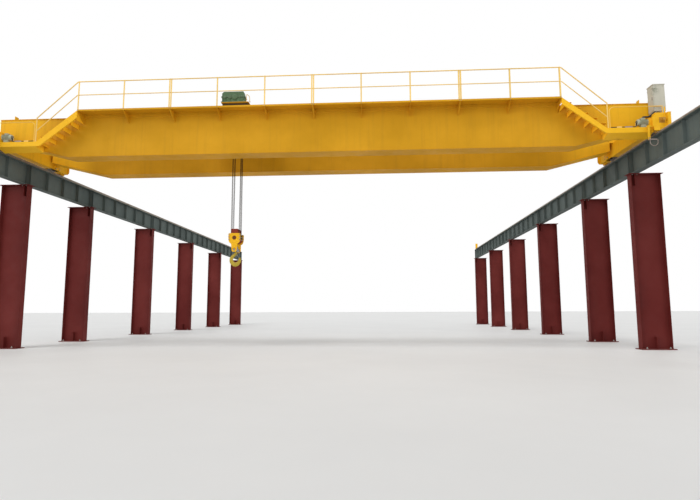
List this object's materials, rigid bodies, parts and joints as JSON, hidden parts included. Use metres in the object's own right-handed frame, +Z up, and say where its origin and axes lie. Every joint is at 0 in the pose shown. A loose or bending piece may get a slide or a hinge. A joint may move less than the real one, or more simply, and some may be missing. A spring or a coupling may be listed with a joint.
{
  "type": "overhead bridge crane",
  "caption": "Double-girder overhead travelling bridge crane with trolley, hoist, hook block and walkway, on its own runway girders and steel columns.",
  "frame": {"origin": "ground level in the middle of the runway's footprint", "axes": "+X along the bridge from the left rail to the right rail as the camera sees them, +Y along the runway away from the camera, +Z up"},
  "size_m": [24.39, 36.74, 9.365],
  "materials": {
    "crane_yellow": "semi-gloss, worn",
    "rail_yellow": "semi-gloss, worn",
    "column_maroon": "matt, dusty",
    "runway_grey": "matt, dusty",
    "bare_steel": "worn, greasy",
    "machine_green": "semi-gloss",
    "cabinet_grey": "powder coat",
    "guard_red": "matt, worn",
    "buffer_amber": "cast polyurethane",
    "wire_rope": "greased"
  },
  "bodies": {
    "runway": {"base_plates": "column_maroon", "columns_left": "column_maroon", "columns_right": "column_maroon", "runway_girders_left": "runway_grey", "runway_girders_right": "runway_grey", "crane_rails": "bare_steel", "end_stops": "crane_yellow"},
    "bridge": {"girder_front": "crane_yellow", "girder_rear": "crane_yellow", "trolley_rails": "bare_steel", "trolley_stops": "crane_yellow", "end_trucks": "crane_yellow", "travel_wheels": "bare_steel", "bearing_housings": "crane_yellow", "truck_buffers": "buffer_amber", "travel_gearboxes": "crane_yellow", "travel_motors": "machine_green", "walkway_deck": "crane_yellow", "walkway_brackets": "crane_yellow", "walkway_handrail": "rail_yellow", "end_stairs": "crane_yellow", "stair_rails": "rail_yellow", "end_platforms": "crane_yellow", "guard_rails": "rail_yellow", "control_cabinet": "cabinet_grey", "collector_bracket": "crane_yellow"},
    "trolley": {"trolley_frame": "crane_yellow", "trolley_wheels": "bare_steel", "trolley_drive": "machine_green", "hoist_gear_case": "machine_green", "hoist_motor": "machine_green", "hoist_brake": "bare_steel", "rope_drum": "bare_steel", "hoist_stands": "crane_yellow", "upper_sheaves": "bare_steel", "equaliser": "crane_yellow", "drum_leads": "wire_rope", "hoist_falls": "wire_rope"},
    "hook_block": {"block_plates": "crane_yellow", "block_sheaves": "bare_steel", "block_guard": "guard_red", "block_crosshead": "bare_steel"},
    "hook": {"hook": "crane_yellow", "hook_nut": "bare_steel"},
    "latch": {"hook_latch": "bare_steel"}
  },
  "joints": [
    {"name": "bridge_travel", "type": "slide", "parent": "runway", "child": "bridge", "axis": [0, 1, 0], "range_m": [-4.02, 27.37]},
    {"name": "trolley_travel", "type": "slide", "parent": "bridge", "child": "trolley", "axis": [1, 0, 0], "range_m": [-6.76, 12.9]},
    {"name": "hoist", "type": "slide", "parent": "trolley", "child": "hook_block", "axis": [0, 0, 1], "range_m": [-2.88, 3.66], "deforming": ["drum_leads", "hoist_falls"]},
    {"name": "hook_swivel", "type": "hinge", "parent": "hook_block", "child": "hook", "pos_m": [-3.07, -11.675, 3.52], "axis": [0, 0, 1], "continuous": true},
    {"name": "latch_hinge", "type": "hinge", "parent": "hook", "child": "latch", "pos_m": [-3.026, -11.675, 3.398], "axis": [0, 1, 0], "range_deg": [0, 50], "stiffness_Nm_per_rad": 2, "springref_deg": -22.92}
  ]
}
